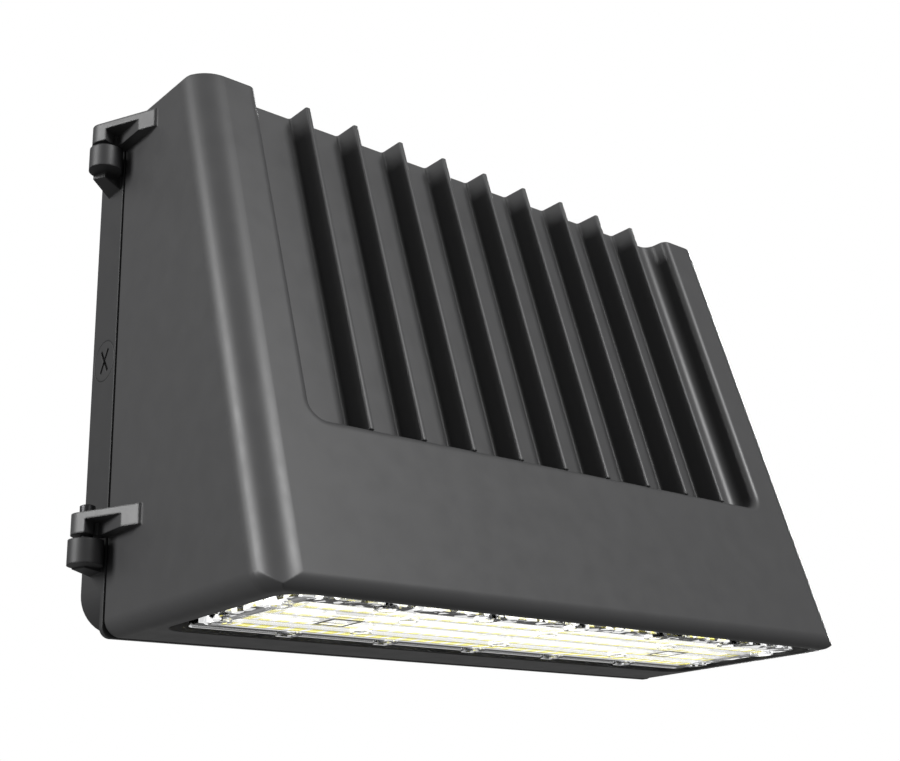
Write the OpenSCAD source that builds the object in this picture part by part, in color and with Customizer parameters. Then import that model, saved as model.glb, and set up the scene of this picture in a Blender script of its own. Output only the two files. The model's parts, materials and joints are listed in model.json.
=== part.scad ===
// Hinged wall pack light: a shallow back box on the wall, and a finned front housing on lift-off hinges.
// X runs along the wall, -Y points away from the wall and Z is up.
// The origin is the centre of the wall fixing, on the wall's face.
// Names that end in _h are heights above the underside, names that end in _d are depths from the wall.

/* [Front housing] */
// Width of the light
housing_w = 360; // [330:5:400]
// Height of the light
housing_h = 255.5; // [250:0.5:280]
// Depth from the wall to the front face at the top
top_d = 92; // [88:1:100]
// Depth from the wall to the front face at the underside
bottom_d = 160; // [157:1:175]
// Height of the fixing centre above the light's middle
fixing_rise = 5.25; // [-3:0.25:7]
// Wall thickness of the front casting
wall = 4; // [3:0.5:5]
// Radius of the upright front edges
edge_r = 15; // [10:1:18]
// Radius of the edge below the front face
chin_r = 6; // [3:0.5:7]
// Radius of the lower side edges
side_r = 8; // [6:1:9]
// Radius of the upper side edges
crown_r = 2; // [1:0.5:4]

/* [Fins] */
// Number of cooling fins
fin_count = 9; // [5:1:9]
// Distance from the field's side to the outer fins
fin_end_gap = 30.2; // [20:0.2:40]
// Thickness of a fin
fin_t = 2.6; // [2:0.2:4]
// Radius on the edges of a fin's tip
fin_tip_r = 0.8; // [0.4:0.1:1]
// Radius where a fin meets the floor
fin_root_r = 1.5; // [0.5:0.5:3]
// Width of the strip beside the sunk field that holds the fins
field_side_w = 33; // [31:1:40]
// Depth of the sunk field, square to the front face
field_depth = 14.3; // [10:0.1:16]
// Height of the lower end of the sunk field
field_h = 77.8; // [70:0.1:90]
// Radius of the field's lower corners
field_corner_r = 8; // [7:0.5:12]
// Radius of the field's outer edge
field_edge_r = 4; // [2:0.5:5]
// Radius where the field's walls meet its floor
field_root_r = 6; // [3:0.5:6.5]

/* [Back box] */
// Depth of the back box from the wall to its rim
box_d = 23; // [22:0.5:24]
// Wall thickness of the back box
box_wall = 3; // [2.5:0.5:3.5]
// Thickness of the rim that faces the front housing
rim_t = 3; // [2.5:0.5:3.5]
// How far the rim stands below and above the box behind it
rim_drop = 5.5; // [4:0.5:7]
// Corner radius of the rim
rim_corner_r = 5; // [3:0.5:6]
// Corner radius of the box behind the rim
box_corner_r = 17; // [12:1:20]
// Width of the rim's sealing face
rim_w = 12; // [11:0.5:14]
// Gap between the rim and the front housing
seal_gap = 2; // [1.5:0.25:2.5]
// Width of the seal
seal_w = 4; // [3:0.5:4.5]
// Depth of the groove that holds the seal
groove_depth = 2; // [1:0.25:2.25]
// Radius of a side conduit plug
plug_r = 10; // [8:0.5:10]

/* [Wall fixing] */
// Distance between wall screws along the wall
fixing_x = 236; // [200:2:250]
// Distance between wall screws up the wall
fixing_z = 150; // [130:2:160]
// Radius of a wall screw's hole
fixing_hole_r = 3.5; // [3:0.25:4]
// Distance between the outlet box slots
outlet_slot_x = 88.9; // [82.6:0.1:101.6]
// Length of an outlet box slot
outlet_slot_l = 14; // [10:1:18]
// Half the width of an outlet box slot
outlet_slot_r = 2.5; // [2:0.25:3]
// Radius of the wire entry
wire_entry_r = 11.1; // [9:0.1:14]

/* [Hinges] */
// How far the hinge axis stands out from the side
hinge_out = 9.5; // [9.5:0.25:11]
// Depth of the hinge axis from the wall
hinge_d = 22.5; // [21.5:0.25:23.5]
// Height of the lower barrel's underside
hinge_h = 31; // [26:0.5:34]
// Distance from the top down to the upper barrel's underside
hinge_top = 28.5; // [28:0.5:44]
// Radius of a barrel
barrel_r = 8; // [7:0.25:8]
// Height of a barrel
barrel_l = 11.3; // [9:0.1:12]
// Radius of a hinge pin
hinge_pin_r = 2.8; // [2:0.1:3.2]
// Running clearance round a hinge pin
pin_clearance = 0.05; // [0.02:0.01:0.1]
// Gap between a barrel and the arm above it
arm_gap = 2.2; // [1:0.1:3]
// Height of a hinge arm
arm_t = 9.5; // [8:0.25:11]
// Thickness of the bridge over an arm's window
arm_bridge_t = 3.5; // [2.5:0.25:5]
// Radius of an arm's knuckle
knuckle_r = 7; // [6:0.25:7.5]
// Distance from the hinge axis forward to the arm's front end
arm_reach = 32.7; // [30:0.1:36]

/* [Cover screws] */
// Radius of a cover screw's shank
cover_screw_r = 2.5; // [2:0.25:3]
// Travel of a cover screw when it is backed out
cover_screw_travel = 7.5; // [6.5:0.5:8]
// Distance from the side to a cover screw's axis
cover_screw_out = 7; // [6.5:0.25:9]
// Width of a screw ear
ear_t = 12; // [11:0.5:13]

/* [Light engine] */
// Width of the rim beside the lens opening
rim_side_w = 12; // [12:0.5:20]
// Width of the rim behind the lens opening
rim_rear_w = 27; // [25:0.5:30]
// Width of the rim in front of the lens opening
rim_front_w = 8; // [8:0.5:12]
// Gap between the lens and the sides of its opening
lens_gap = 8; // [6.5:0.5:9]
// Height of the lens face above the underside
lens_h = 0.8; // [0.6:0.1:1.2]
// Thickness of the lens face
lens_t = 3; // [2:0.25:3.5]
// Height of the lens's rim
lens_rim_t = 5.4; // [5:0.1:6]
// Width of the lens's rim
lens_rim_w = 11; // [10:0.5:12]
// Depth of the screw heads in the lens
screw_recess = 2.4; // [2.2:0.1:2.6]
// Thickness of the lens seal
lens_seal_t = 1.5; // [1:0.25:2]
// Distance from row to row of the light emitters
row_pitch = 17; // [16.5:0.5:18]
// Least distance from the outer rows to the well's edge
row_gap = 5; // [5:0.5:10]
// Number of emitters in a row
chip_count = 30; // [10:1:31]
// Distance from the outer emitters to the round ends of the light bars
chip_end_gap = 8.5; // [5:0.5:12]
// Thickness of the circuit board
board_t = 1.6; // [1:0.1:2]
// Thickness of the heat pad behind the board
pad_t = 0.5; // [0.25:0.25:1]
// Radius of the light bars moulded in the lens
bar_r = 4; // [3:0.25:4]
// Height of the shelf's upper face above the underside
shelf_h = 20; // [19.5:0.5:22]

/* [Driver] */
// Length of the driver
driver_l = 140; // [120:5:145]
// Width of the driver
driver_w = 58; // [45:1:62]
// Height of the driver
driver_t = 34; // [30:1:38]

/* [Hidden] */
$fn = 64;
// One overrun serves every cut
over = 1;
// Clearance between pieces that are fitted and stay still
fit = 0.1;

lean = atan((bottom_d - top_d) / housing_h);
rear_d = box_d + seal_gap;
half_w = housing_w / 2;
fixing_h = housing_h / 2 + fixing_rise;
hinge_pitch = housing_h - hinge_top - hinge_h;
field_half_w = half_w - field_side_w;
fin_pitch = 2 * (field_half_w - fin_end_gap) / (fin_count - 1);
// Number of cuts that carry the lower edge's rounding round an upright edge
corner_cuts = 8;
big = 2 * housing_w;
field_s = field_h / cos(lean);
chin_y = -bottom_d + chin_r * (1 + sin(lean)) / cos(lean);

// Sealing faces
seal_place_share = 0.5625;
seal_inset = (rim_w - seal_w) * seal_place_share;
// Depth of the housing's inner ledge that presses the seal
press_ledge_t = 6;

// Hinge arm, in plan
axis_x = -(half_w + hinge_out);
axis_y = -hinge_d;
arm_nose = 1.3;
arm_nose_back = 0.8;
arm_pad_l = 9.2;
arm_rear_gap = 4;
arm_window_lead = 4.35;
gusset_front = 2.5;
gusset_rear = 15;
gusset_turn = 20;
lower_gusset_drop = 1.5;
upper_gusset_drop = 6;
pin_seat = 2;
pin_end_gap = 0.4;
lower_pin_proud = 5;
upper_pin_proud = 1.2;
pin_head_r = 3.5;

// Screw ears and their bosses
ear_depth = 13;
ear_root = 2;
boss_depth = 14;
boss_hole_l = 12;
screw_tip_gap = 0.5;
cover_head_r = 4.6;
cover_head_t = 4.2;
cover_drive_r = 2.2;
cover_drive_l = 2.4;
retainer_t = 1;
retainer_r = 4;
retainer_gap = 0.5;
ear_counter_r = 4.6;
screw_play = 0.35;

// Lens
opening_half_w = half_w - rim_side_w;
opening_rear_d = rear_d + rim_rear_w;
opening_front_d = bottom_d - rim_front_w;
ledge_w = lens_gap + lens_rim_w;
lens_top_h = lens_h + lens_t;
lens_rim_h = lens_h + lens_rim_t;
lens_seat_h = lens_h + screw_recess;
ledge_h = lens_rim_h + lens_seal_t;
bar_lift = 2.6;
bar_end_gap = 6;
opening_corner_r = 12;
lens_corner_r = 5;
well_corner_r = 5;
well_half_w = opening_half_w - ledge_w;
well_rear_d = opening_rear_d + ledge_w;
well_front_d = opening_front_d - ledge_w;
bar_half = well_half_w - bar_end_gap - bar_r;
lens_screw_r = 1.75;
lens_screw_head_r = 3.4;
lens_screw_head_t = 1.8;
lens_screw_l = 10;
lens_screw_pitch = 55;
lens_screw_columns = 5;
lens_screw_in = lens_gap + lens_rim_w / 2;
lens_side_share = 0.27;
lens_boss_r = 6;
lens_head_play = 0.3;
optic_screw_pitch = 84;
optic_screw_l = 13.5;
optic_boss_r = 5;
optic_post_r = 3.8;

// Circuit board
recess_h = 13;
pad_face_h = recess_h - pad_t;
board_face_h = pad_face_h - board_t;
board_margin = 2;
chip_pitch = 2 * (bar_half - chip_end_gap) / (chip_count - 1);
chip_l = 3;
chip_w = 2.8;
chip_t = 0.7;
board_screw_in = 5;
board_screw_r = 1.25;
board_screw_head_r = 2.4;
board_screw_head_t = 1.4;
board_screw_l = 6;
connector_gap = 23;
connector_l = 14;
connector_w = 7;
connector_t = 3.2;
lead_r = 1.1;
// How far a lead swells at a bend
lead_swell = 0.15;
lead_pitch = 2.6;
lead_end = 1;
grommet_r = 6;
grommet_bore_r = 3.6;
grommet_lip = 1.5;
grommet_lip_t = 1.2;

// Driver, surge protector and terminal block on the shelf
driver_d = 61;
driver_corner_r = 3;
driver_groove_w = 6;
driver_groove_t = 1;
cap_t = 3;
foot_l = 10;
foot_t = 2;
foot_hole_r = 2.2;
foot_screw_r = 2;
foot_head_r = 3.6;
foot_head_t = 2.4;
foot_screw_l = 4;
foot_pilot_l = 5;
terminal_side = 52;
terminal_x = -(half_w - terminal_side);
terminal_d = 45;
terminal_l = 34;
terminal_w = 16;
terminal_t = 14;
terminal_step = 5;
terminal_foot = 9;
pole_count = 3;
pole_pitch = 10;
pole_entry_x = 2.4;
pole_screw_t = 1.2;
pole_screw_r = 1.8;
surge_gap = 33;
surge_d = terminal_d + terminal_w + surge_gap;
surge_l = 31;
surge_w = 26;
surge_t = 26;
surge_foot = 9;
surge_x = terminal_x - pole_entry_x;
lead_bend = 8;

// Back box details
plug_l = 4;
plug_d = 12;
plug_cross_w = 1.6;
plug_cross_l = 13;
plug_cross_t = 1.6;
plug_cross_turn = 32;
vent_x = 120;
vent_r = 5;
vent_d = 11.5;
vent_cap_r = 7;
vent_cap_t = 2.2;
fixing_pad_r = 9;
fixing_pad_t = 1.5;
gasket_w = 9;
gasket_t = 1.5;
gasket_gap = 4;
gasket_mid_r = (outlet_slot_x + outlet_slot_l + gasket_w) / 2 + gasket_gap;
ground_x = -70;
ground_z = -72;
ground_boss_r = 5.5;
ground_boss_t = 7;
ground_screw_r = 2.4;
ground_screw_l = 5;
ground_head_r = 4.6;
ground_head_t = 2.6;
ground_slot_w = 1;
ground_washer_r = 5;
ground_washer_t = 0.8;

casting = [0.22, 0.22, 0.23];
rubber = [0.08, 0.08, 0.08];
steel = [0.72, 0.72, 0.72];
plastic = [0.9, 0.9, 0.86];
black = [0.12, 0.12, 0.13];

// Frames
module on_base() translate([0, 0, -fixing_h]) children();
// X along the front face, Y square into it and Z up its slope
module on_face() on_base() translate([0, -bottom_d, 0]) rotate([-lean, 0, 0]) children();
module on_axis(h) translate([axis_x, axis_y, h - fixing_h]) children();
module both_sides() {
    children();
    mirror([1, 0, 0]) children();
}
module bolt(r, l, head_r, head_t) {
    translate([0, 0, -l]) cylinder(h = l, r = r);
    cylinder(h = head_t, r = head_r);
}
// A rectangle with round corners about its centre
module round_rect(w, h, r) {
    square([w - 2 * r, h], center = true);
    square([w, h - 2 * r], center = true);
    for (x = [-1, 1], y = [-1, 1]) translate([x * (w / 2 - r), y * (h / 2 - r)]) circle(r);
}
// An upright plate with round corners between two depths
module front_plate(w, low_h, high_h, r, near_d, far_d) {
    on_base() translate([0, -near_d, (low_h + high_h) / 2]) rotate([90, 0, 0])
        linear_extrude(far_d - near_d) round_rect(w, high_h - low_h, r);
}
// A level plate with round corners between two heights
module floor_plate(w, near_d, far_d, r, low_h, high_h) {
    on_base() translate([0, -(near_d + far_d) / 2, low_h])
        linear_extrude(high_h - low_h) round_rect(w, far_d - near_d, r);
}

// Front housing: three outlines whose common solid is its outer form
module plan_outline(inset) {
    translate([-(half_w - edge_r), inset]) square([housing_w - 2 * edge_r, big]);
    translate([-(half_w - inset), edge_r]) square([housing_w - 2 * inset, big]);
    both_sides() translate([half_w - edge_r, edge_r]) circle(edge_r - inset);
}
module side_outline() {
    polygon([[chin_y, 0], [-rear_d, 0], [-rear_d, housing_h], [-top_d, housing_h],
        [chin_y - chin_r * cos(lean), chin_r * (1 + sin(lean))], [chin_y, chin_r]]);
    translate([chin_y, chin_r]) circle(chin_r);
}
module front_outline() {
    translate([-(half_w - side_r), 0]) square([housing_w - 2 * side_r, housing_h]);
    translate([-half_w, side_r]) square([housing_w, housing_h - side_r - crown_r]);
    both_sides() {
        translate([half_w - side_r, side_r]) circle(side_r);
        translate([half_w - crown_r, housing_h - crown_r]) circle(crown_r);
        translate([0, housing_h - side_r]) square([half_w - crown_r, side_r]);
    }
}
module outer_form() {
    difference() {
        intersection() {
            on_face() translate([0, 0, -big / 2]) linear_extrude(2 * big) plan_outline(0);
            on_base() rotate([90, 0, 90]) linear_extrude(big, center = true) side_outline();
            on_base() rotate([90, 0, 0]) linear_extrude(big) front_outline();
        }
        on_base() both_sides() translate([half_w - edge_r, edge_r / cos(lean) - bottom_d, 0])
            for (i = [1 : corner_cuts]) corner_cut(90 * i / (corner_cuts + 1));
    }
}
// Rounds the lower edge where the upright edge faces the angle turn from the front
module corner_cut(turn) {
    tilt = asin(cos(turn) * sin(lean));
    r = chin_r + (side_r - chin_r) * turn / 90;
    mid = (edge_r - r * (1 + sin(tilt))) / cos(tilt);
    out = edge_r / cos(tilt) + over;
    rotate([90, 0, atan2(-cos(turn) * cos(lean), sin(turn))]) linear_extrude(2 * edge_r, center = true)
        difference() {
            polygon([[mid, -over], [out, -over], [out, r * (1 + sin(tilt))],
                [mid + r * cos(tilt), r * (1 + sin(tilt))], [mid, r]]);
            translate([mid, r]) circle(r);
        }
}
// Takes the sharp edge off a wall that stands at x = 0, with the front at y = 0
module edge_round(r) {
    difference() {
        translate([0, -over]) square([r, r + over]);
        translate([r, r]) circle(r);
    }
}
// Fills the corner between a wall at x = 0 and a floor at y = 0
module root_round(r) {
    difference() {
        translate([-r, -r]) square([r, r]);
        translate([-r, -r]) circle(r);
    }
}
// Runs an outline round the right half of the sunk field
module along_field() {
    corner_x = field_half_w - field_corner_r;
    corner_s = field_s + field_corner_r;
    translate([field_half_w, 0, corner_s]) linear_extrude(big) children();
    translate([0, 0, field_s]) rotate([0, 90, 0]) linear_extrude(corner_x) children();
    translate([corner_x, 0, corner_s]) rotate([-90, 0, 0]) rotate_extrude(angle = 90)
        translate([field_corner_r, 0]) children();
}
module field_cut() {
    on_face() {
        translate([0, field_depth, field_s]) rotate([90, 0, 0]) linear_extrude(field_depth + over) {
            translate([-field_half_w, field_corner_r]) square([2 * field_half_w, big]);
            translate([-(field_half_w - field_corner_r), 0]) square([2 * (field_half_w - field_corner_r), big]);
            both_sides() translate([field_half_w - field_corner_r, field_corner_r]) circle(field_corner_r);
        }
        both_sides() along_field() edge_round(field_edge_r);
    }
}
module fin_outline() {
    side = fin_t / 2;
    translate([-side, fin_tip_r]) square([fin_t, field_depth - fin_tip_r + over]);
    translate([-(side - fin_tip_r), 0]) square([fin_t - 2 * fin_tip_r, field_depth]);
    both_sides() {
        translate([side - fin_tip_r, fin_tip_r]) circle(fin_tip_r);
        translate([side, field_depth]) mirror([1, 0]) root_round(fin_root_r);
    }
}
module fins() {
    on_face() for (i = [0 : fin_count - 1])
        translate([(i - (fin_count - 1) / 2) * fin_pitch, 0, field_s - over])
            linear_extrude(big) fin_outline();
}
module field_roots() {
    on_face() both_sides() along_field() translate([0, field_depth]) root_round(field_root_r);
}
module above_roof() {
    on_base() translate([-half_w - over, -bottom_d, housing_h])
        cube([housing_w + 2 * over, big, big]);
}
// Room inside the housing, above the shelf
module housing_room() {
    intersection() {
        on_face() union() {
            translate([-(half_w - wall), field_depth + wall, -big / 2])
                cube([housing_w - 2 * wall, big, 2 * big]);
            difference() {
                translate([0, 0, -big / 2]) linear_extrude(2 * big) plan_outline(wall);
                translate([-(field_half_w + wall), -over, field_s - wall])
                    cube([2 * (field_half_w + wall), field_depth + wall + over, 2 * big]);
            }
        }
        on_base() translate([-half_w, -bottom_d, shelf_h])
            cube([housing_w, bottom_d - rear_d - press_ledge_t, housing_h - wall - shelf_h]);
    }
    front_plate(housing_w - 2 * rim_w, shelf_h, housing_h - rim_w, rim_corner_r, rear_d - over,
        rear_d + press_ledge_t + over);
}
module lens_opening() {
    floor_plate(2 * opening_half_w, opening_rear_d, opening_front_d, opening_corner_r, -over, ledge_h);
    well_outline(0, recess_h);
}

// Hinge arm, in plan about the hinge axis; its outer face runs from the nose to the knuckle
nose = [hinge_out - arm_nose, -arm_reach];
arm_turn = atan2(-nose[1], -nose[0]) + asin(knuckle_r / norm(nose));
arm_dir = [cos(arm_turn), sin(arm_turn)];
arm_out = [-sin(arm_turn), cos(arm_turn)];
pad_corner = nose + arm_pad_l * arm_dir;
arm_root_x = hinge_out + over;
module arm_outline() {
    circle(knuckle_r);
    polygon([nose, knuckle_r * arm_out, -knuckle_r * arm_out, [arm_root_x, -arm_rear_gap],
        [arm_root_x, nose[1] - arm_nose_back], [hinge_out, nose[1] - arm_nose_back]]);
}
// The open window under an arm's bridge
module arm_window() {
    polygon([pad_corner, pad_corner + over * arm_out, knuckle_r * arm_out - arm_window_lead * arm_dir + over * arm_out,
        -arm_window_lead * arm_dir, [0, -hinge_pin_r], [pad_corner[0], -hinge_pin_r], [pad_corner[0], -arm_rear_gap]]);
}
module hinge_arms() {
    arm_h = hinge_h + barrel_l + arm_gap;
    for (i = [0, 1]) on_axis(arm_h + i * hinge_pitch) difference() {
        linear_extrude(arm_t) arm_outline();
        translate([0, 0, -over]) linear_extrude(arm_t - arm_bridge_t + over) arm_window();
    }
}
module arm_pin_holes() {
    for (i = [0, 1]) on_axis(hinge_h + barrel_l + i * hinge_pitch)
        cylinder(h = arm_t + 2 * arm_gap, r = hinge_pin_r);
}

// Cover screws stand beside the barrels' heights on the other side; Z runs out of the wall along the screw
ear_h = hinge_h + barrel_l / 2;
module at_ear(i) {
    on_base() translate([half_w + cover_screw_out, -rear_d, ear_h + i * hinge_pitch])
        rotate([90, 0, 0]) children();
}
module ear_outline() {
    circle(ear_t / 2);
    translate([-cover_screw_out - ear_root, -ear_t / 2]) square([cover_screw_out + ear_root, ear_t]);
}
module cover_ears() {
    for (i = [0, 1]) at_ear(i) linear_extrude(ear_depth) ear_outline();
}
module cover_ear_holes() {
    counter_l = retainer_t + retainer_gap + cover_screw_travel + screw_play;
    for (i = [0, 1]) at_ear(i) translate([0, 0, -over]) {
        cylinder(h = ear_depth + 2 * over, r = cover_screw_r + screw_play);
        cylinder(h = counter_l + over, r = ear_counter_r);
    }
}

// Places of the screws in the light engine
lens_columns = [for (i = [0 : lens_screw_columns - 1]) (i - (lens_screw_columns - 1) / 2) * lens_screw_pitch];
opening_l = opening_front_d - opening_rear_d;
lens_screw_places = concat([for (x = lens_columns) [x, -(opening_front_d - lens_screw_in)]],
    [for (x = lens_columns) [x, -(opening_rear_d + lens_screw_in)]],
    [for (x = [-1, 1], t = [lens_side_share, 1 - lens_side_share])
        [x * (opening_half_w - lens_screw_in), -(opening_rear_d + t * opening_l)]]);
row_count = floor((well_front_d - well_rear_d - 2 * row_gap) / row_pitch) + 1;
first_row_d = (well_rear_d + well_front_d - (row_count - 1) * row_pitch) / 2;
row_ys = [for (i = [0 : row_count - 1]) -(first_row_d + i * row_pitch)];
gap_ys = [for (i = [0 : 2 : row_count - 2]) row_ys[i] - row_pitch / 2];
optic_screw_places = [for (x = [-1, 0, 1], y = gap_ys) [x * optic_screw_pitch, y]];
board_screw_places = [for (x = [-1, 1], y = gap_ys) [x * (well_half_w - board_screw_in), y]];
connector_y = row_ys[floor((row_count - 1) / 2)] - row_pitch / 2;
connector_x = driver_l / 2 + cap_t + foot_l + connector_gap;
driver_y = -(driver_d + driver_w / 2);
driver_foot_places = [for (x = [-1, 1], y = [-1, 1])
    [x * (driver_l / 2 + cap_t + foot_l / 2), driver_y + y * driver_w / 3]];
surge_foot_place = [surge_x - (surge_l + surge_foot) / 2, -(surge_d + surge_w / 2)];
terminal_y = -(terminal_d + terminal_w / 2);
terminal_foot_places = [for (x = [-1, 1]) [terminal_x + x * (terminal_l + terminal_foot) / 2, terminal_y]];
shelf_places = concat(driver_foot_places, [surge_foot_place], terminal_foot_places);
module at_places(places, h) {
    for (p = places) on_base() translate([p[0], p[1], h]) children();
}
// Screws that point up into the shelf from below
module up_screws(places, h, r, l, head_r, head_t) {
    at_places(places, h) mirror([0, 0, 1]) bolt(r, l, head_r, head_t);
}

module front_housing() {
    color(casting) difference() {
        union() {
            difference() {
                outer_form();
                field_cut();
            }
            difference() {
                union() {
                    fins();
                    field_roots();
                }
                above_roof();
            }
            hinge_arms();
            cover_ears();
        }
        housing_room();
        lens_opening();
        arm_pin_holes();
        cover_ear_holes();
        at_places(lens_screw_places, 0) cylinder(h = lens_seat_h + lens_screw_l + over, r = lens_screw_r);
        at_places(optic_screw_places, 0) cylinder(h = lens_seat_h + optic_screw_l + over, r = lens_screw_r);
        at_places(board_screw_places, 0) cylinder(h = board_face_h + board_screw_l + over, r = board_screw_r);
        at_places([[connector_x, connector_y]], 0) cylinder(h = shelf_h + over, r = grommet_r);
        at_places(shelf_places, shelf_h - foot_pilot_l) cylinder(h = foot_pilot_l + over, r = foot_screw_r);
    }
}

// Back box
module barrels() {
    for (i = [0, 1]) on_axis(hinge_h + i * hinge_pitch) {
        drop = i == 0 ? lower_gusset_drop : upper_gusset_drop;
        cylinder(h = barrel_l, r = barrel_r);
        intersection() {
            translate([0, 0, -drop]) linear_extrude(drop + barrel_l)
                polygon([[0, 0], [arm_root_x, gusset_front], [arm_root_x, gusset_rear],
                    [-barrel_r * sin(gusset_turn), barrel_r * cos(gusset_turn)]]);
            rotate([90, 0, 0]) linear_extrude(big, center = true)
                polygon([[-barrel_r, 0], [hinge_out, -drop], [arm_root_x, -drop], [arm_root_x, barrel_l],
                    [-barrel_r, barrel_l]]);
        }
    }
}
module ear_bosses() {
    for (i = [0, 1]) at_ear(i) translate([0, 0, -seal_gap - boss_depth]) linear_extrude(boss_depth) ear_outline();
}
module at_fixings(y) {
    for (x = [-1, 1], z = [-1, 1]) translate([x * fixing_x / 2, y, z * fixing_z / 2]) rotate([90, 0, 0]) children();
}
module at_plugs() {
    both_sides() translate([-half_w, -plug_d, 0]) rotate([0, 90, 0]) children();
}
module outlet_slots() {
    for (x = [-1, 1]) translate([x * outlet_slot_x / 2, over, 0]) rotate([90, 0, 0])
        linear_extrude(box_wall + 2 * over) {
            square([outlet_slot_l - 2 * outlet_slot_r, 2 * outlet_slot_r], center = true);
            for (s = [-1, 1]) translate([s * (outlet_slot_l / 2 - outlet_slot_r), 0]) circle(outlet_slot_r);
        }
}
module box_room() {
    difference() {
        front_plate(housing_w - 2 * box_wall, rim_drop + box_wall, housing_h - rim_drop - box_wall,
            box_corner_r - box_wall, box_wall, box_d - rim_t);
        at_plugs() cylinder(h = plug_l, r = plug_r + box_wall);
        at_fixings(-box_wall + over) cylinder(h = fixing_pad_t + over, r = fixing_pad_r);
        translate([ground_x, -box_wall + over, ground_z]) rotate([90, 0, 0])
            cylinder(h = ground_boss_t + over, r = ground_boss_r);
    }
    front_plate(housing_w - 2 * rim_w, rim_w, housing_h - rim_w, rim_corner_r, box_d - rim_t - over, box_d + over);
}
module back_box() {
    color(casting) difference() {
        union() {
            front_plate(housing_w, rim_drop, housing_h - rim_drop, box_corner_r, 0, box_d - rim_t / 2);
            front_plate(housing_w, 0, housing_h, rim_corner_r, box_d - rim_t, box_d);
            barrels();
            ear_bosses();
        }
        box_room();
        outlet_slots();
        seal_ring(0, box_d - groove_depth, box_d + over);
        gasket_ring(gasket_w + 2 * fit, over);
        at_plugs() translate([0, 0, -over]) cylinder(h = plug_l + 2 * over, r = plug_r + fit);
        at_fixings(over) cylinder(h = box_wall + fixing_pad_t + 2 * over, r = fixing_hole_r);
        translate([0, over, 0]) rotate([90, 0, 0]) cylinder(h = box_wall + 2 * over, r = wire_entry_r);
        translate([ground_x, -box_wall - ground_boss_t + ground_screw_l + over, ground_z]) rotate([90, 0, 0])
            cylinder(h = ground_screw_l + 2 * over, r = ground_screw_r);
        on_base() translate([vent_x, -vent_d, rim_drop - over]) cylinder(h = box_wall + 2 * over, r = vent_r);
        for (i = [0, 1]) {
            on_axis(hinge_h + pin_seat + i * hinge_pitch) cylinder(h = barrel_l, r = hinge_pin_r + pin_clearance);
            at_ear(i) translate([0, 0, -seal_gap - boss_hole_l])
                cylinder(h = boss_hole_l + over, r = cover_screw_r + screw_play);
        }
    }
}
// The seal's path round the rim
module seal_ring(gap, near_d, far_d) {
    low = seal_inset + gap;
    high = seal_inset + seal_w - gap;
    difference() {
        front_plate(housing_w - 2 * low, low, housing_h - low, rim_corner_r, near_d, far_d);
        front_plate(housing_w - 2 * high, high, housing_h - high, rim_corner_r, near_d - over, far_d + over);
    }
}
module gasket_ring(w, proud) {
    translate([0, proud, 0]) rotate([90, 0, 0]) difference() {
        cylinder(h = gasket_t + proud, r = gasket_mid_r + w / 2);
        translate([0, 0, -over]) cylinder(h = gasket_t + proud + 2 * over, r = gasket_mid_r - w / 2);
    }
}
module wall_gasket() color(rubber) gasket_ring(gasket_w, 0);
module housing_seal() color(rubber) seal_ring(fit, box_d - groove_depth, rear_d);
module conduit_plugs() {
    color(casting) at_plugs() difference() {
        cylinder(h = plug_l, r = plug_r);
        for (turn = [-1, 1]) rotate([0, 0, turn * plug_cross_turn])
            translate([-plug_cross_l / 2, -plug_cross_w / 2, -over])
                cube([plug_cross_l, plug_cross_w, plug_cross_t + over]);
    }
}
module breather_vent() {
    color(black) on_base() translate([vent_x, -vent_d, rim_drop]) mirror([0, 0, 1])
        bolt(vent_r, box_wall, vent_cap_r, vent_cap_t);
}
module at_ground() {
    translate([ground_x, -box_wall - ground_boss_t, ground_z]) rotate([90, 0, 0]) children();
}
module ground_screw() {
    color("green") at_ground() translate([0, 0, ground_washer_t]) difference() {
        bolt(ground_screw_r, ground_screw_l, ground_head_r, ground_head_t);
        translate([-ground_head_r - over, -ground_slot_w / 2, ground_head_t - ground_slot_w])
            cube([2 * (ground_head_r + over), ground_slot_w, ground_slot_w + over]);
    }
}
module ground_washer() {
    color(steel) at_ground() difference() {
        cylinder(h = ground_washer_t, r = ground_washer_r);
        translate([0, 0, -over]) cylinder(h = ground_washer_t + 2 * over, r = ground_screw_r + fit);
    }
}

// Hinge pins, pressed into the arms
module hinge_pin(i, proud) {
    low_h = hinge_h + pin_seat + pin_end_gap + i * hinge_pitch;
    high_h = hinge_h + barrel_l + arm_gap + arm_t + i * hinge_pitch;
    color(steel) {
        on_axis(low_h) cylinder(h = high_h - low_h, r = hinge_pin_r);
        on_axis(high_h) intersection() {
            cylinder(h = proud, r = pin_head_r);
            translate([0, 0, proud - 2 * pin_head_r]) sphere(2 * pin_head_r);
        }
    }
}
module lower_hinge_pin() hinge_pin(0, lower_pin_proud);
module upper_hinge_pin() hinge_pin(1, upper_pin_proud);

// Captive cover screws, each with the washer that keeps it in its ear
module cover_screw(i) {
    color(steel) at_ear(i) translate([0, 0, ear_depth]) difference() {
        bolt(cover_screw_r, ear_depth + seal_gap + cover_screw_travel - screw_tip_gap, cover_head_r, cover_head_t);
        translate([0, 0, cover_head_t - cover_drive_l])
            cylinder(h = cover_drive_l + over, r = cover_drive_r, $fn = 6);
    }
}
module screw_retainer(i) {
    color(steel) at_ear(i) translate([0, 0, retainer_gap]) difference() {
        cylinder(h = retainer_t, r = retainer_r);
        translate([0, 0, -over]) cylinder(h = retainer_t + 2 * over, r = cover_screw_r);
    }
}
module lower_cover_screw() cover_screw(0);
module upper_cover_screw() cover_screw(1);
module lower_screw_retainer() screw_retainer(0);
module upper_screw_retainer() screw_retainer(1);

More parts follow.
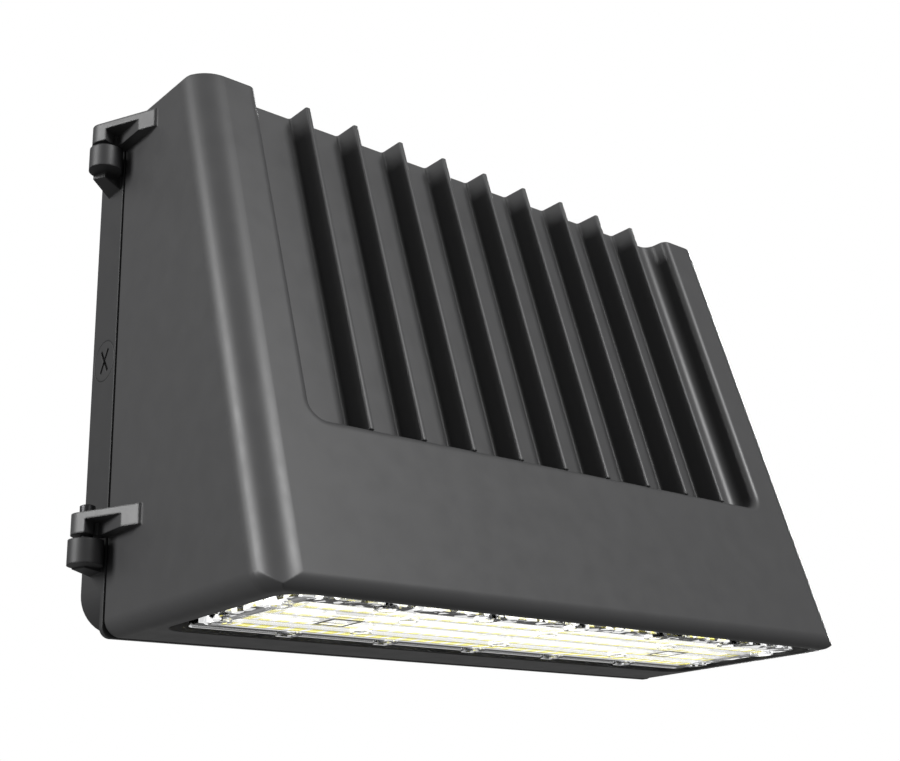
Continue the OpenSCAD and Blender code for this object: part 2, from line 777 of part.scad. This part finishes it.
// Lens, its seal and its screws
module lens_outline(low_h, high_h) {
    floor_plate(2 * (opening_half_w - lens_gap), opening_rear_d + lens_gap, opening_front_d - lens_gap,
        lens_corner_r, low_h, high_h);
}
module well_outline(low_h, high_h) {
    floor_plate(2 * well_half_w, well_rear_d, well_front_d, well_corner_r, low_h, high_h);
}
module lens() {
    color([0.85, 0.9, 0.92, 0.5]) difference() {
        union() {
            difference() {
                lens_outline(lens_h, lens_rim_h);
                well_outline(lens_top_h, shelf_h);
            }
            at_places(lens_screw_places, 0) cylinder(h = lens_rim_h, r = lens_boss_r);
            at_places(optic_screw_places, 0) cylinder(h = lens_rim_h, r = optic_boss_r);
            for (y = row_ys) on_base() translate([0, y, (lens_h + lens_top_h) / 2 + bar_lift]) {
                rotate([0, 90, 0]) cylinder(h = 2 * bar_half, r = bar_r, center = true);
                for (x = [-1, 1]) translate([x * bar_half, 0, 0]) sphere(bar_r);
            }
            at_places(optic_screw_places, lens_top_h) cylinder(h = board_face_h - lens_top_h, r = optic_post_r);
        }
        for (places = [lens_screw_places, optic_screw_places]) {
            at_places(places, -over) cylinder(h = shelf_h, r = lens_screw_r + fit);
            at_places(places, -over) cylinder(h = lens_seat_h + over, r = lens_screw_head_r + lens_head_play);
        }
    }
}
module lens_seal() {
    color(rubber) difference() {
        lens_outline(lens_rim_h, ledge_h);
        well_outline(0, shelf_h);
        at_places(lens_screw_places, 0) cylinder(h = shelf_h, r = lens_screw_r + fit);
    }
}
module lens_screws() {
    color(steel)
        up_screws(lens_screw_places, lens_seat_h, lens_screw_r, lens_screw_l, lens_screw_head_r, lens_screw_head_t);
}
module optic_screws() {
    color(steel)
        up_screws(optic_screw_places, lens_seat_h, lens_screw_r, optic_screw_l, lens_screw_head_r, lens_screw_head_t);
}

// Circuit board with its light emitters
module board_outline(low_h, high_h) {
    difference() {
        floor_plate(2 * (well_half_w - board_margin), well_rear_d + board_margin, well_front_d - board_margin,
            well_corner_r - board_margin, low_h, high_h);
        at_places(optic_screw_places, 0) cylinder(h = shelf_h, r = lens_screw_r + fit);
        at_places(board_screw_places, 0) cylinder(h = shelf_h, r = board_screw_r + fit);
        at_places([[connector_x, connector_y]], 0) cylinder(h = shelf_h, r = grommet_bore_r);
    }
}
module heat_pad() color([0.6, 0.62, 0.64]) board_outline(pad_face_h, recess_h);
module led_board() color([0.94, 0.94, 0.92]) board_outline(board_face_h, pad_face_h);
module led_chips() {
    color([0.95, 0.85, 0.3]) for (y = row_ys, j = [0 : chip_count - 1])
        on_base() translate([(j - (chip_count - 1) / 2) * chip_pitch, y, board_face_h - chip_t / 2])
            cube([chip_l, chip_w, chip_t], center = true);
}
module board_screws() {
    color(steel) up_screws(board_screw_places, board_face_h, board_screw_r, board_screw_l, board_screw_head_r, board_screw_head_t);
}
module board_connectors() {
    color(plastic) for (x = [-1, 1])
        on_base() translate([x * connector_x, connector_y, board_face_h - connector_t]) difference() {
            translate([-connector_l / 2, -connector_w / 2, 0]) cube([connector_l, connector_w, connector_t]);
            for (y = [-1, 1]) translate([0, y * lead_pitch / 2, connector_t - lead_end]) cylinder(h = connector_t, r = lead_r);
        }
}
module lead_grommet() {
    color(rubber) at_places([[connector_x, connector_y]], shelf_h) difference() {
        bolt(grommet_r, shelf_h - recess_h, grommet_r + grommet_lip, grommet_lip_t);
        translate([0, 0, -shelf_h]) cylinder(h = 2 * shelf_h, r = grommet_bore_r);
    }
}

// Driver
module driver_body(l) {
    translate([0, 0, driver_t / 2]) rotate([0, 90, 0])
        linear_extrude(l, center = true) round_rect(driver_t, driver_w, driver_corner_r);
}
module driver() {
    color([0.8, 0.8, 0.8]) on_base() translate([0, driver_y, shelf_h]) difference() {
        driver_body(driver_l);
        for (y = [-1, 1]) translate([-driver_l, y * driver_w / 4 - driver_groove_w / 2, driver_t - driver_groove_t])
            cube([2 * driver_l, driver_groove_w, driver_t]);
    }
}
module driver_end_caps() {
    color(black) difference() {
        on_base() translate([0, driver_y, shelf_h]) {
            difference() {
                driver_body(driver_l + 2 * cap_t);
                translate([-driver_l / 2, -driver_w, -over]) cube([driver_l, 2 * driver_w, 2 * driver_t]);
            }
            both_sides() translate([driver_l / 2, -driver_w / 2 + driver_corner_r, 0])
                cube([cap_t + foot_l, driver_w - 2 * driver_corner_r, foot_t]);
        }
        at_places(driver_foot_places, shelf_h - over) cylinder(h = foot_t + 2 * over, r = foot_hole_r);
        for (i = [0, 1]) cap_entry(1, i - 1 / 2);
        for (i = [0 : pole_count - 1]) cap_entry(-1, i - (pole_count - 1) / 2);
    }
}
// The hole in an end cap for a lead
module cap_entry(side, place) {
    on_base() translate([side * (driver_l + cap_t) / 2, driver_y + place * lead_pitch, shelf_h + driver_t / 2])
        rotate([0, 90, 0]) cylinder(h = cap_t + over, r = lead_r, center = true);
}
module foot_screws(places) {
    color(steel) at_places(places, shelf_h + foot_t) bolt(foot_screw_r, foot_t + foot_screw_l, foot_head_r, foot_head_t);
}
module driver_screws() foot_screws(driver_foot_places);
module surge_screw() foot_screws([surge_foot_place]);
module terminal_mount_screws() foot_screws(terminal_foot_places);

// Surge protector and terminal block
pole_xs = [for (i = [0 : pole_count - 1]) terminal_x + (i - (pole_count - 1) / 2) * pole_pitch];
pole_h = shelf_h + (terminal_t - terminal_step) / 2;
module surge_protector() {
    color(black) difference() {
        on_base() translate([surge_x - surge_l / 2, -surge_d - surge_w, shelf_h]) {
            cube([surge_l, surge_w, surge_t]);
            translate([-surge_foot, 0, 0]) cube([surge_l, surge_w, foot_t]);
        }
        at_places([surge_foot_place], shelf_h - over) cylinder(h = foot_t + 2 * over, r = foot_hole_r);
        for (x = pole_xs) on_base() translate([x - pole_entry_x, -surge_d + over, pole_h]) rotate([90, 0, 0])
            cylinder(h = lead_end + over, r = lead_r);
    }
}
module terminal_block() {
    color(plastic) difference() {
        on_base() translate([terminal_x, terminal_y, shelf_h]) {
            translate([-terminal_l / 2, -terminal_w / 2, 0]) cube([terminal_l, terminal_w, terminal_t - terminal_step]);
            translate([-terminal_l / 2, -terminal_w / 4, 0]) cube([terminal_l, terminal_w / 2, terminal_t]);
            translate([-terminal_l / 2 - terminal_foot, -terminal_w / 4, 0])
                cube([terminal_l + 2 * terminal_foot, terminal_w / 2, foot_t]);
        }
        at_places(terminal_foot_places, shelf_h - over) cylinder(h = foot_t + 2 * over, r = foot_hole_r);
        for (x = pole_xs, s = [-1, 1], y = [-1, 1])
            on_base() translate([x + s * pole_entry_x, terminal_y + y * terminal_w / 2, pole_h])
                rotate([90, 0, 0]) cylinder(h = 2 * lead_end, r = lead_r, center = true);
    }
}
module terminal_screws() {
    color(steel) for (x = pole_xs, y = [-1, 1])
        on_base() translate([x, terminal_y + y * terminal_w * 3 / 8, shelf_h + terminal_t - terminal_step])
            cylinder(h = pole_screw_t, r = pole_screw_r);
}

// Leads, each a chain of straight runs with a round joint at each bend
module lead(points) {
    for (i = [0 : len(points) - 2]) {
        d = points[i + 1] - points[i];
        translate(points[i]) rotate([0, acos(d[2] / norm(d)), atan2(d[1], d[0])]) {
            cylinder(h = norm(d), r = lead_r);
            if (i > 0) sphere(lead_r + lead_swell);
        }
    }
}
cap_h = shelf_h + driver_t / 2;
module led_leads() {
    color("red") on_base() for (s = [-1, 1])
        lead([[driver_l / 2, driver_y + s * lead_pitch / 2, cap_h],
            [driver_l / 2 + cap_t + foot_l, driver_y + s * lead_pitch / 2, cap_h],
            [connector_x, connector_y + s * lead_pitch / 2, shelf_h + grommet_r],
            [connector_x, connector_y + s * lead_pitch / 2, board_face_h - lead_end]]);
}
module driver_leads() {
    color(black) on_base() for (i = [0 : pole_count - 1]) {
        start_y = driver_y + (i - (pole_count - 1) / 2) * lead_pitch;
        end_x = pole_xs[i] + pole_entry_x;
        front_y = terminal_y - terminal_w / 2;
        lead([[-driver_l / 2, start_y, cap_h], [-(driver_l / 2 + cap_t + foot_l), start_y, cap_h],
            [end_x, front_y - 2 * lead_bend, cap_h], [end_x, front_y - lead_bend / 2, pole_h],
            [end_x, front_y + lead_end, pole_h]]);
    }
}
module surge_leads() {
    color(black) on_base() for (x = pole_xs)
        lead([[x - pole_entry_x, -surge_d - lead_end, pole_h],
            [x - pole_entry_x, terminal_y - terminal_w / 2 + lead_end, pole_h]]);
}

back_box();
wall_gasket();
conduit_plugs();
breather_vent();
ground_screw();
ground_washer();
housing_seal();
front_housing();
lower_hinge_pin();
upper_hinge_pin();
lower_cover_screw();
lower_screw_retainer();
upper_cover_screw();
upper_screw_retainer();
lens();
lens_seal();
lens_screws();
optic_screws();
heat_pad();
led_board();
led_chips();
board_screws();
board_connectors();
lead_grommet();
driver();
driver_end_caps();
driver_screws();
surge_protector();
surge_screw();
terminal_block();
terminal_screws();
terminal_mount_screws();
led_leads();
driver_leads();
surge_leads();
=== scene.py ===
"""Hinged wall pack light: looks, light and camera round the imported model."""
import json
import math

import bpy
from mathutils import Matrix, Vector


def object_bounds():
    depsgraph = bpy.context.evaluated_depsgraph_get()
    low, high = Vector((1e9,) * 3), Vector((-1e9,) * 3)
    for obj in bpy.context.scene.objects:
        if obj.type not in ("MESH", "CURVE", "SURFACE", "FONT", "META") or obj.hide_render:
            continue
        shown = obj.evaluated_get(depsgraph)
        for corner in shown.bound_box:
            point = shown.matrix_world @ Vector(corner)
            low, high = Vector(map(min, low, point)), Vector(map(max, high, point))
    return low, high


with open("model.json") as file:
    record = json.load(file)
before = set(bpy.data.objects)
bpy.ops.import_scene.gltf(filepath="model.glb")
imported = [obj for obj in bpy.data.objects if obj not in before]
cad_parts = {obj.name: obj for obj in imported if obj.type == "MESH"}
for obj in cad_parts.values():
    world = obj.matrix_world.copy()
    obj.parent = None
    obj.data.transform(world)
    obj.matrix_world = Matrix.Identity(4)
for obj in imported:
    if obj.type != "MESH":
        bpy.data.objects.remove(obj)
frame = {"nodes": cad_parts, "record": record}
cad_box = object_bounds()
nodes = frame["nodes"]

# The photograph's camera, found from the object's edges
IMAGE_W = 900
FOCAL_PX = 1367.925
SENSOR_MM = 36
CAMERA_AT = Vector((-0.455771, -0.583816, -0.230274))
CAMERA_TO = Vector((-0.029396, -0.09, -0.002632))
CAMERA_ROLL = -0.038
CLIP_START = 0.01

# The studio: white all round, soft narrow lights, pale floor far below
SEEN_WHITE = 1.0
AMBIENT = 0.21
LIGHT_SPREAD = 50
LIGHTS = {
    "light_left": {
        "place": (-2.0, 0.2, 0.6), "target": (-0.18, -0.08, -0.02), "size": (0.8, 1.0), "power": 3.9},
    "light_front": {
        "place": (0.32, -2.1, 1.2), "target": (0.02, -0.1, -0.02), "size": (0.9, 1.0), "power": 5.9},
    "light_rim": {
        "place": (1.7, 0.8, 0.5), "target": (0.17, -0.1, 0), "size": (0.6, 1.4), "power": 11},
}
FLOOR_DROP = 1.1
FLOOR_HALF = 4
FLOOR_TONE = (0.8, 0.8, 0.8)
FLOOR_GLOW = 0.5
WHITE = (1.0, 1.0, 1.0, 1)

# Cast and coated edges
COAT_EDGE = 0.0012
EDGE_SAMPLES = 6

# The part of the noise's range over which the gloss changes
NOISE_LOW = 0.3
NOISE_HIGH = 0.7

# Places of the colour sockets on a mix node
MIX_FIRST = 6
MIX_SECOND = 7
MIX_RESULT = 2

# The rows of chips as the lens's face shows them, in painted glow with painted shade lines: lengths in
# metres, glows as strengths
LENS_TINT = (0.97, 0.98, 1.0)
ROW_Y = -0.0765
ROW_PITCH = 0.017
CHIP_PITCH = 0.009
CHIP_HALF_W = 0.0031
CHIP_HALF_D = 0.0042
CHIP_TINT = (1.0, 0.9, 0.1, 1)
BAR_HALF = 0.004
LINE_HALF = 0.0004
LINE_SHADE = 0.45
FACE_Y = -0.103
FACE_Z = -0.1322
FACE_HALF_W = 0.1495
FACE_HALF_D = 0.033
FACE_LAYER = 0.0003
FACE_PAINTED_GLOW = 0.45

# Painted light: the rear rows are painted brighter, as they look from the camera's low angle
DEEP_FROM_Y = -0.108
DEEP_TO_Y = -0.078
DEEP_PAINTED_GLOW = 0.18

# The board's connectors behind the face, painted on it as dark frames of painted shade
SOCKET_X = 0.107
SOCKET_Y = -0.0995
SOCKET_HALF = 0.0085
SOCKET_LINE = 0.0024

# The lens's rim, with painted reflections: bright and dark facets, a plain strip at each end with
# painted glow and a painted highlight along the rear edge
FACET_Y = -0.072
FACET_SCALE = 260.0
FACET_HIGHLIGHT = 0.7
FACET_BRIGHT_FROM = 0.62
FACET_DARK_TO = 0.31
FACET_PAINTED_DARK = (0.02, 0.02, 0.02, 1)
STRIP_X = 0.153
STRIP_HALF_W = 0.0028
STRIP_PAINTED_GLOW = 0.12
EDGE_Y = -0.0608
EDGE_HALF = 0.0006
EDGE_HIGHLIGHT = 0.5


def make_camera():
    forward = (CAMERA_TO - CAMERA_AT).normalized()
    right = forward.cross(Vector((0, 0, 1))).normalized()
    up = right.cross(forward)
    rolled_right = right * math.cos(CAMERA_ROLL) + up * math.sin(CAMERA_ROLL)
    rolled_up = up * math.cos(CAMERA_ROLL) - right * math.sin(CAMERA_ROLL)
    data = bpy.data.cameras.new("camera")
    data.sensor_width = SENSOR_MM
    data.lens = FOCAL_PX / IMAGE_W * SENSOR_MM
    data.clip_start = CLIP_START
    camera = bpy.data.objects.new("camera", data)
    bpy.context.collection.objects.link(camera)
    camera.matrix_world = Matrix((
        (rolled_right.x, rolled_up.x, -forward.x, CAMERA_AT.x),
        (rolled_right.y, rolled_up.y, -forward.y, CAMERA_AT.y),
        (rolled_right.z, rolled_up.z, -forward.z, CAMERA_AT.z),
        (0, 0, 0, 1)))
    bpy.context.scene.camera = camera


def make_light(name, place, target, size, power):
    data = bpy.data.lights.new(name, "AREA")
    data.shape = "RECTANGLE"
    data.size, data.size_y = size
    data.energy = power
    data.spread = math.radians(LIGHT_SPREAD)
    light = bpy.data.objects.new(name, data)
    bpy.context.collection.objects.link(light)
    light.location = place
    light.rotation_euler = (Vector(target) - Vector(place)).to_track_quat("-Z", "Y").to_euler()
    light.visible_camera = False


def make_world():
    """White behind the object, with a dimmer even light on it."""
    world = bpy.data.worlds.new("studio")
    bpy.context.scene.world = world
    bpy.context.scene.view_settings.view_transform = "Standard"
    world.use_nodes = True
    tree = world.node_tree
    background = tree.nodes["Background"]
    background.inputs["Color"].default_value = WHITE
    rays = tree.nodes.new("ShaderNodeLightPath")
    strength = tree.nodes.new("ShaderNodeMapRange")
    strength.inputs["To Min"].default_value = AMBIENT
    strength.inputs["To Max"].default_value = SEEN_WHITE
    tree.links.new(rays.outputs["Is Camera Ray"], strength.inputs["Value"])
    tree.links.new(strength.outputs["Result"], background.inputs["Strength"])


def make_floor():
    """Pale floor that throws no light up, because the photograph's underside is dark."""
    low = cad_box[0][2] - FLOOR_DROP
    corners = [(x * FLOOR_HALF, y * FLOOR_HALF, low) for x, y in ((-1, -1), (1, -1), (1, 1), (-1, 1))]
    mesh = bpy.data.meshes.new("floor")
    mesh.from_pydata(corners, [], [(0, 1, 2, 3)])
    floor = bpy.data.objects.new("floor", mesh)
    bpy.context.collection.objects.link(floor)
    floor.visible_diffuse = False
    floor.visible_glossy = False
    material = Material(
        "floor_pale", FLOOR_TONE, roughness=0.7, Emission_Color=WHITE, Emission_Strength=FLOOR_GLOW)
    mesh.materials.append(material.vary_color(scale=2, share=0.01).result)


class Material:
    """A principled surface with small procedural changes of colour, gloss and relief."""

    def __init__(self, name, color, roughness=0.5, metallic=0.0, **sockets):
        self.result = bpy.data.materials.new(name)
        self.result.use_nodes = True
        self.tree = self.result.node_tree
        self.shader = self.tree.nodes["Principled BSDF"]
        self.color = color
        self.roughness = roughness
        self.normal = None
        self.set("Base Color", (*color, 1))
        self.set("Roughness", roughness)
        self.set("Metallic", metallic)
        for key, value in sockets.items():
            self.set(key.replace("_", " "), value)

    def set(self, key, value):
        self.shader.inputs[key].default_value = value

    def add(self, kind, **settings):
        node = self.tree.nodes.new(kind)
        for key, value in settings.items():
            if key in node.inputs:
                node.inputs[key].default_value = value
            else:
                setattr(node, key, value)
        return node

    def link(self, out, into):
        self.tree.links.new(out, into)

    def math(self, operation, *values):
        node = self.add("ShaderNodeMath", operation=operation)
        for place, value in enumerate(values):
            if isinstance(value, (int, float)):
                node.inputs[place].default_value = value
            else:
                self.link(value, node.inputs[place])
        return node.outputs[0]

    def times(self, first, second):
        return self.math("MULTIPLY", first, second)

    def plus(self, first, second):
        return self.math("ADD", first, second)

    def minus(self, first, second):
        return self.math("SUBTRACT", first, second)

    def below(self, source, limit):
        return self.math("LESS_THAN", source, limit)

    def within(self, source, middle, half):
        """One where the source is closer to the middle than half, else zero."""
        return self.below(self.math("ABSOLUTE", self.minus(source, middle)), half)

    def repeat(self, source, middle, pitch):
        """Distance to the nearest of the places middle + n * pitch."""
        share = self.math("FRACT", self.plus(self.math("DIVIDE", source, pitch), 0.5 - middle / pitch))
        return self.times(self.math("ABSOLUTE", self.minus(share, 0.5)), pitch)

    def place(self):
        return self.add("ShaderNodeTexCoord").outputs["Object"]

    def axes(self):
        split = self.add("ShaderNodeSeparateXYZ")
        self.link(self.place(), split.inputs[0])
        return split.outputs[:3]

    def noise(self, scale, detail=3.0, stretch=None):
        source = self.place()
        if stretch:
            mapping = self.add("ShaderNodeMapping")
            mapping.inputs["Scale"].default_value = stretch
            self.link(source, mapping.inputs["Vector"])
            source = mapping.outputs["Vector"]
        noise = self.add("ShaderNodeTexNoise", Scale=scale, Detail=detail)
        self.link(source, noise.inputs["Vector"])
        return noise.outputs["Fac"]

    def cells(self, scale):
        """A number from zero to one for each cell of an uneven mosaic."""
        cells = self.add("ShaderNodeTexVoronoi", Scale=scale)
        self.link(self.place(), cells.inputs["Vector"])
        split = self.add("ShaderNodeSeparateColor")
        self.link(cells.outputs["Color"], split.inputs[0])
        return split.outputs[0]

    def ramp(self, source, start, end, low, high):
        ramp = self.add("ShaderNodeMapRange")
        for key, value in (("From Min", start), ("From Max", end), ("To Min", low), ("To Max", high)):
            ramp.inputs[key].default_value = value
        self.link(source, ramp.inputs["Value"])
        return ramp.outputs["Result"]

    def blend(self, share, first, second, key):
        """Lead a blend of two colours into one of the shader's sockets."""
        mix = self.add("ShaderNodeMix", data_type="RGBA")
        mix.inputs[MIX_FIRST].default_value = first
        mix.inputs[MIX_SECOND].default_value = second
        self.link(share, mix.inputs[0])
        self.link(mix.outputs[MIX_RESULT], self.shader.inputs[key])

    def vary_color(self, scale, share, stretch=None):
        darker = (*[c * (1 - share) for c in self.color], 1)
        lighter = (*[min(1, c * (1 + share)) for c in self.color], 1)
        self.blend(self.noise(scale, stretch=stretch), darker, lighter, "Base Color")
        return self

    def vary_roughness(self, scale, spread, stretch=None):
        smoother, rougher = self.roughness - spread, self.roughness + spread
        value = self.ramp(self.noise(scale, stretch=stretch), NOISE_LOW, NOISE_HIGH, smoother, rougher)
        self.link(value, self.shader.inputs["Roughness"])
        return self

    def soften(self, radius):
        """Rounded look of cast and coated edges."""
        self.normal = self.add("ShaderNodeBevel", samples=EDGE_SAMPLES, Radius=radius).outputs["Normal"]
        return self

    def relief(self, scale, depth, strength=1.0, stretch=None):
        bump = self.add("ShaderNodeBump", Strength=strength, Distance=depth)
        self.link(self.noise(scale, stretch=stretch), bump.inputs["Height"])
        if self.normal:
            self.link(self.normal, bump.inputs["Normal"])
        self.normal = bump.outputs["Normal"]
        self.link(self.normal, self.shader.inputs["Normal"])
        return self


def powder_coat(name, color, roughness):
    material = Material(name, color, roughness, Specular_IOR_Level=0.5)
    material.vary_color(scale=60, share=0.04).vary_roughness(scale=90, spread=0.03).soften(COAT_EDGE)
    material.relief(scale=2600, depth=0.00003, strength=0.25)
    return material.relief(scale=260, depth=0.00008, strength=0.12).result


def steel(name, color, roughness):
    material = Material(name, color, roughness, metallic=1.0)
    material.vary_color(scale=400, share=0.08).vary_roughness(scale=900, spread=0.06)
    return material.relief(scale=1500, depth=0.00002, strength=0.3).result


def rubber(name, color, roughness=0.75):
    material = Material(name, color, roughness).vary_color(scale=300, share=0.15)
    return material.relief(scale=1800, depth=0.00004, strength=0.5).result


def plastic(name, color, roughness=0.45):
    material = Material(name, color, roughness).vary_color(scale=120, share=0.04)
    return material.relief(scale=2200, depth=0.00002, strength=0.4).result


def extruded(name, color, roughness=0.38, grain=(0.02, 1, 1)):
    """Aluminium with its draw lines along the grain."""
    material = Material(name, color, roughness, metallic=1.0)
    material.vary_color(scale=500, share=0.1, stretch=grain)
    material.vary_roughness(scale=700, spread=0.05, stretch=grain)
    return material.relief(scale=900, depth=0.00003, strength=0.3, stretch=grain).result


# Painted light: the board and the chips glow in their own colour, brighter than the lamps light them
def painted_glow(name, color, strength, roughness=0.4):
    material = Material(name, color, roughness, Emission_Color=(*color, 1), Emission_Strength=strength)
    return material.vary_color(scale=900, share=0.05).result


def painted_face_glow(m, y, z, socket_shade):
    """Painted light on the outer face: thin darker lines of painted shade beside the bars and round the
    connectors.
    """
    seam = m.within(m.repeat(y, ROW_Y, ROW_PITCH), BAR_HALF, LINE_HALF)
    glow = m.minus(FACE_PAINTED_GLOW, m.times(seam, LINE_SHADE))
    glow = m.plus(glow, m.ramp(y, DEEP_FROM_Y, DEEP_TO_Y, 0, DEEP_PAINTED_GLOW))
    glow = m.math("MAXIMUM", m.minus(glow, socket_shade), 0)
    return m.times(glow, m.within(z, FACE_Z, FACE_LAYER))


def socket_shade_frame(m, side, y):
    """Painted shade: a dark frame of each connector as the face shows it."""
    whole, inner = [m.times(m.within(side, SOCKET_X, half), m.within(y, SOCKET_Y, half))
                    for half in (SOCKET_HALF, SOCKET_HALF - SOCKET_LINE)]
    return m.minus(whole, inner)


def clear_lens(name="clear_lens"):
    """Clear moulding whose face glows with painted light in rows, with yellow chips in the glow and
    painted reflections on its faceted rim.
    """
    m = Material(name, LENS_TINT, roughness=0.04, Transmission_Weight=1.0, IOR=1.45)
    m.relief(scale=35, depth=0.0002, strength=0.08)
    x, y, z = m.axes()
    side = m.math("ABSOLUTE", x)
    face = m.times(m.within(x, 0, FACE_HALF_W), m.within(y, FACE_Y, FACE_HALF_D))
    rim = m.times(m.minus(1, face), m.below(y, FACET_Y))
    strip = m.times(m.within(side, STRIP_X, STRIP_HALF_W), rim)
    rim = m.minus(rim, strip)
    socket_shade = socket_shade_frame(m, side, y)

    # Painted reflections: dark facets on the rim, and the connectors' frames in painted shade
    facet = m.cells(FACET_SCALE)
    dark = m.math("MAXIMUM", m.times(m.below(facet, FACET_DARK_TO), rim), socket_shade)
    m.blend(dark, (*m.color, 1), FACET_PAINTED_DARK, "Base Color")

    # Painted highlights on the bright facets, painted glow on the end strips and a painted highlight
    # along the rear edge
    facet_highlights = m.times(m.math("GREATER_THAN", facet, FACET_BRIGHT_FROM), FACET_HIGHLIGHT)
    light = m.plus(m.times(face, painted_face_glow(m, y, z, socket_shade)), m.times(rim, facet_highlights))
    light = m.plus(light, m.times(strip, STRIP_PAINTED_GLOW))
    light = m.plus(light, m.times(m.within(y, EDGE_Y, EDGE_HALF), EDGE_HIGHLIGHT))
    m.link(light, m.shader.inputs["Emission Strength"])

    # Painted glow: the chips' yellow tints the face's painted light
    row = m.below(m.repeat(y, ROW_Y, ROW_PITCH), CHIP_HALF_D)
    chip = m.below(m.repeat(x, CHIP_PITCH / 2, CHIP_PITCH), CHIP_HALF_W)
    m.blend(m.times(m.times(row, chip), face), WHITE, CHIP_TINT, "Emission Color")
    return m.result


FINISHES = {
    "powder_coat_housing": (powder_coat, {"color": (0.05, 0.05, 0.051), "roughness": 0.42}),
    # The box's coat is set darker than the housing's
    "powder_coat_box": (powder_coat, {"color": (0.027, 0.027, 0.028), "roughness": 0.5}),
    "foam_rubber": (rubber, {"color": (0.03, 0.03, 0.03), "roughness": 0.9}),
    "black_silicone": (rubber, {"color": (0.02, 0.02, 0.02), "roughness": 0.6}),
    "black_plastic": (plastic, {"color": (0.02, 0.02, 0.022)}),
    "ivory_plastic": (plastic, {"color": (0.7, 0.69, 0.63)}),
    "green_steel": (steel, {"color": (0.05, 0.28, 0.08), "roughness": 0.4}),
    "zinc_steel": (steel, {"color": (0.55, 0.55, 0.56), "roughness": 0.35}),
    "pin_steel": (steel, {"color": (0.05, 0.05, 0.052), "roughness": 0.42}),
    "screw_steel": (steel, {"color": (0.4, 0.4, 0.41), "roughness": 0.3}),
    "clear_lens": (clear_lens, {}),
    "heat_pad_grey": (rubber, {"color": (0.3, 0.32, 0.36)}),
    # Board and chips: painted glow
    "board_white": (painted_glow, {"color": (1.0, 0.99, 0.96), "strength": 0.75}),
    "chip_yellow": (painted_glow, {"color": (1.0, 0.88, 0.2), "strength": 1.6}),
    "driver_aluminium": (extruded, {"color": (0.55, 0.55, 0.57)}),
    "red_sleeve": (rubber, {"color": (0.4, 0.02, 0.02), "roughness": 0.5}),
    "black_sleeve": (rubber, {"color": (0.02, 0.02, 0.02), "roughness": 0.5}),
}


def dress_nodes():
    finishes = {name: make(name, **values) for name, (make, values) in FINISHES.items()}
    for row in frame["record"]["subparts"]:
        node = nodes[row["node"]]
        finish = finishes[row["material_slot"]]
        if not node.material_slots:
            node.data.materials.append(finish)
        for slot in node.material_slots:
            slot.link = "OBJECT"
            slot.material = finish


make_camera()
make_world()
for name, values in LIGHTS.items():
    make_light(name, **values)
make_floor()
dress_nodes()
